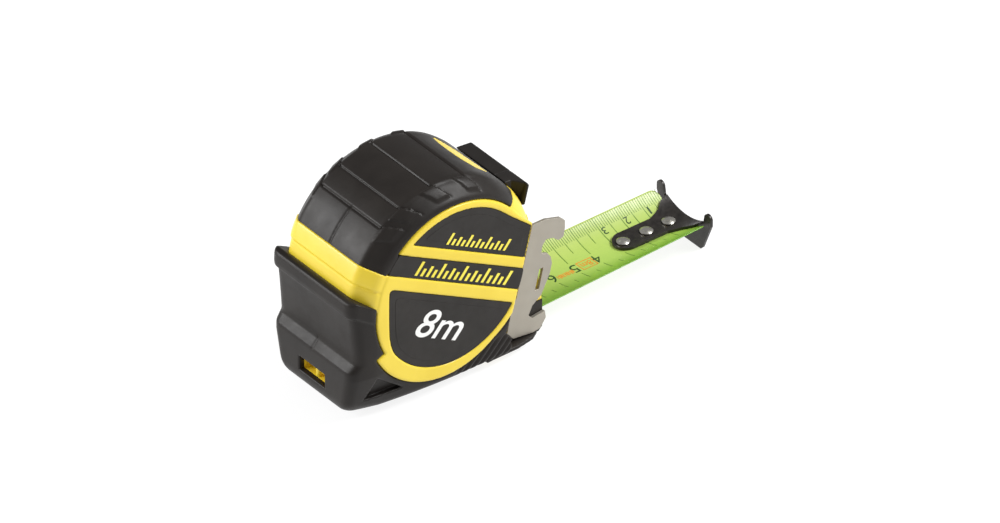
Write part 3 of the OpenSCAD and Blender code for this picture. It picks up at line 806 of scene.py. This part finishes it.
def make_labels():
    low = (-38, 4)
    xs = np.arange(low[0], 42, LABEL_CELL)[:, None]
    zs = np.arange(low[1], 78, LABEL_CELL)[None, :]
    for far, side in ((False, "near"), (True, "far")):
        for name, field in zip(("top", "band", "disc"), label_fields(xs, zs)):
            side_plate(f"label_{name}_{side}_face", contour(field, low, LABEL_CELL), -FACE, -FACE + 1.0,
                       0.18, far, [f"label_{name}_{side}"])
            if name != "band":
                side_plate(f"label_{name}_{side}_step", contour(field + 2.6, low, LABEL_CELL),
                           -FACE - 0.1, -FACE + 0.2, 0.09, far)
        origin, right, up, out = label_frame(far)

        def raised(u, v, h):
            """On the stepped middle of the label's top and disc pieces"""
            return origin + right * u + up * v + out * (h + 0.11)

        def flat(u, v, h):
            return origin + right * u + up * v + out * h

        shift = -1.0 if far else 1.0
        text_piece(f"size_mark_{side}", "8m", 14, lambda u, v, h: raised(u + shift, v - 14.5, h),
                   PRINT_T, "print_white", "case", 0.095, (22.0, 11.0), slant=0.22)
        for name, place, ticks in (
                ("top", raised, slanted_ticks(far, 13, 2.35, -12.6, 15.9, 1.15, (4.6, 3.4, 2.4))),
                ("band", flat, slanted_ticks(far, 17, 2.75, -21.5, 2.95, 1.3, (5.6, 4.2, 3.0)))):
            verts, faces = boxes_on(place, ticks, PRINT_T)
            new_piece(f"rule_marks_{name}_{side}", verts, faces, "print_yellow", "case", smooth=False)


# ---- blade with its printed scale ------------------------------------------------------

def on_blade(x, s, h):
    """A point at x, s across the flat width, h above the underside; the cup deepens to the hook"""
    depth = 3.2 + 2.6 * (x - JAW_X) / 78
    a = 4 * depth / (2 * BLADE_HALF)
    r = BLADE_HALF / a
    t = s / BLADE_HALF * a
    return np.array([x, (r - h) * math.sin(t), BLADE_LOW + r - (r - h) * math.cos(t)])


def make_blade():
    straight = BLADE_FRONT - CORNER_R          # where the rounded front corners start
    xs = [BLADE_BACK + (straight - BLADE_BACK) * i / 90 for i in range(91)]
    xs += [straight + CORNER_R * math.sin(math.radians(a)) for a in range(9, 91, 9)]
    across = 48
    verts, n = [], len(xs)
    for h in (0.0, BLADE_T):
        for x in xs:
            late = max(0.0, x - straight)
            half = BLADE_HALF - (CORNER_R - math.sqrt(max(0.0, CORNER_R ** 2 - late ** 2)))
            verts += [on_blade(x, half * (2 * j / across - 1), h) for j in range(across + 1)]
    row = across + 1
    top = n * row
    faces = []
    for i in range(n - 1):
        for j in range(across):
            a = i * row + j
            faces.append([a, a + 1, a + row + 1, a + row])
            faces.append([top + a + row, top + a + row + 1, top + a + 1, top + a])
        for j, flip in ((0, False), (across, True)):
            a = i * row + j
            side = [a, a + row, top + a + row, top + a]
            faces.append(side[::-1] if flip else side)
    for j in range(across):
        faces.append([j + 1, j, top + j, top + j + 1])
        a = (n - 1) * row + j
        faces.append([a, a + 1, top + a + 1, top + a])
    new_piece("blade_skin", verts, np.array(faces), "blade", "tape", cad=["blade"])


def ink(name, marks, material):
    """Closed strips of ink (x0, x1, s0, s1) bent to the blade"""
    verts, faces = [], []
    for x0, x1, s0, s1 in marks:
        steps = max(1, math.ceil(abs(s1 - s0) / 1.2))
        o = len(verts)
        for i in range(steps + 1):
            s = s0 + (s1 - s0) * i / steps
            for x, h in ((x0, 0), (x1, 0), (x1, INK_T), (x0, INK_T)):
                verts.append(on_blade(x, s, BLADE_T + INK_LIFT + h))
        for i in range(steps):
            a = o + 4 * i
            faces += [[a + j, a + j + 4, a + (j + 1) % 4 + 4, a + (j + 1) % 4] for j in range(4)]
        e = o + 4 * steps
        faces += [[o, o + 1, o + 2, o + 3], [e + 3, e + 2, e + 1, e]]
    new_piece(name, verts, faces, material, "tape", smooth=False)


def write_on_blade(name, body, size, x, s, material, weight, fit):
    """Writing that reads from the hook's end, centred at x and s"""
    text_piece(name, body, size, lambda u, v, h: on_blade(x - u, s - v, BLADE_T + INK_LIFT + h), INK_T,
               material, "tape", weight, fit)


def scale_marks():
    """Millimetre lines at the far edge, and half and whole centimetres at both"""
    marks = []
    for mm in range(2, 86):
        x = HOOK_X - mm
        if mm % 10 == 0:
            near_top = -5.2 if mm > 30 else -4.6
            marks += [(x - 0.17, x + 0.17, 2.6, 15.7), (x - 0.17, x + 0.17, -10.6, near_top)]
        elif mm % 5 == 0:
            marks += [(x - 0.15, x + 0.15, 6.0, 15.7), (x - 0.15, x + 0.15, -10.2, -7.4)]
        else:
            marks.append((x - 0.12, x + 0.12, 10.8, 15.7))
    return marks


def orange_marks():
    """The frame round the size mark, a row of short bars and a block"""
    x0, x1, s0, s1, line = 74.0, 80.6, -4.1, 1.2, 0.36
    marks = [(x0, x1, s0, s0 + line), (x0, x1, s1 - line, s1), (x0, x0 + line, s0, s1),
             (x1 - line, x1, s0, s1)]
    for i in range(9):
        x = 63.8 + i * 0.82
        marks.append((x, x + (0.52 if i % 3 else 0.34), -3.3 if i % 2 else -2.9, -0.9))
    return marks + [(50.0, 55.8, -4.0, 1.2)]


def make_scale():
    ink("scale_marks", scale_marks(), "ink_green")
    for number in range(1, 9):
        x = HOOK_X - 10 * number
        if number <= 3:
            write_on_blade(f"figure_{number}", str(number), 4, x + 1.6, 9.3, "ink_dark", 0.01,
                           (0.7 if number == 1 else 1.9, 3.3))
        else:
            write_on_blade(f"figure_{number}", str(number), 7, x, -1.3, "ink_dark", 0.004, (2.9, 5.0))
    ink("orange_marks", orange_marks(), "ink_orange")
    write_on_blade("box_mark", "8m", 4, 77.3, -1.45, "ink_orange", 0.02, (4.4, 3.2))


# ---- thumb lock -----------------------------------------------------------------------

def polar(r, degrees):
    a = math.radians(degrees)
    return (DOME[0] + r * math.cos(a), DOME[1] + r * math.sin(a))


def make_lock():
    """A wedge on the dome with a wider flange in front, cut back at the near end, on a stem"""
    g = Grid((24.5, -17.5, 50.5), (43, 17.5, 68), LOCK_CELL)
    x, z, ay = g.x, g.z, g.ay
    outline = [polar(DOME_R + 0.15, a) for a in np.linspace(LOCK_LOW - 2.4, LOCK_HIGH + 1.6, 10)]
    outline += [(33.1, 64.0), (39.2, 63.4), (40.2, 62.4), (38.2, 54.6)]
    wedge = polygon_field(x + 0 * g.y, z + 0 * g.y, outline) + 0.1
    behind_front = 0.975 * (40.1 - x) - 0.222 * (62.2 - z)
    flange = smooth_max(np.maximum(wedge, behind_front - 1.5), ay - 16.5, 1.3)
    reach = np.where(g.y < 0, 11.4 + 1.05 * np.clip(x - 35.4, 0, 4), 16.5)
    body = np.minimum(flange, smooth_max(wedge, ay - reach, 0.6))
    line = np.exp(-((g.y + 5.6) / 0.4) ** 2) * 0.25 * (g.theta > 27)
    stem = common(ay - 7.9, np.abs(g.r - 36.8) - 4.3, np.abs(g.theta - 27) - 4.4)
    button = new_piece("thumb_button", *g.surface(union(body + line, stem)), "black", "thumb_lock",
                       cad=["lock_button"])
    decimate(button, 0.6)


# ---- everything together ----------------------------------------------------------------

BEVELS = {                     # of the CAD pieces that show, in millimetres
    "nose_jaw": 0.5, "mouth_bumper": 0.2, "strap_bar": 0.1, "catch_plate": 0.2, "end_hook": 0.22,
    "hook_backing": 0.15, "clip_base": 0.25, "clip_tongue": 0.25, "clip_screw": 0.2,
    "brake_shoe": 0.4, "drum": 0.2, "drum_cover": 0.2,
}


def dress_frame():
    """Materials for every CAD piece, and softened edges where they show"""
    for key, names in NODE_MATERIAL.items():
        for name in names:
            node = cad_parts[name]
            node.data.materials.clear()
            node.data.materials.append(MATERIALS[key])
    for name, width in BEVELS.items():
        bevel(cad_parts[name], width)


def make_floor():
    """A dull floor that glows softly, so that it looks white and throws little light back up"""
    h = FLOOR_HALF
    mesh = bpy.data.meshes.new("floor")
    mesh.from_pydata([(-h, -h, FLOOR_Z), (h, -h, FLOOR_Z), (h, h, FLOOR_Z), (-h, h, FLOOR_Z)],
                     [], [[0, 1, 2, 3]])
    floor = bpy.data.objects.new("floor", mesh)
    bpy.context.scene.collection.objects.link(floor)
    m, nodes, links, b = principled("floor", (0.2, 0.2, 0.2), 0.7)
    b.inputs["Emission Color"].default_value = (1, 1, 1, 1)
    b.inputs["Emission Strength"].default_value = 0.86
    vary_colour(nodes, links, b, noise(nodes, links, 2, 2), (0.198, 0.198, 0.198), (0.202, 0.202, 0.202))
    mesh.materials.append(m)


make_camera()
make_world()
make_floor()
dress_frame()
make_case()
make_labels()
make_blade()
make_scale()
make_lock()
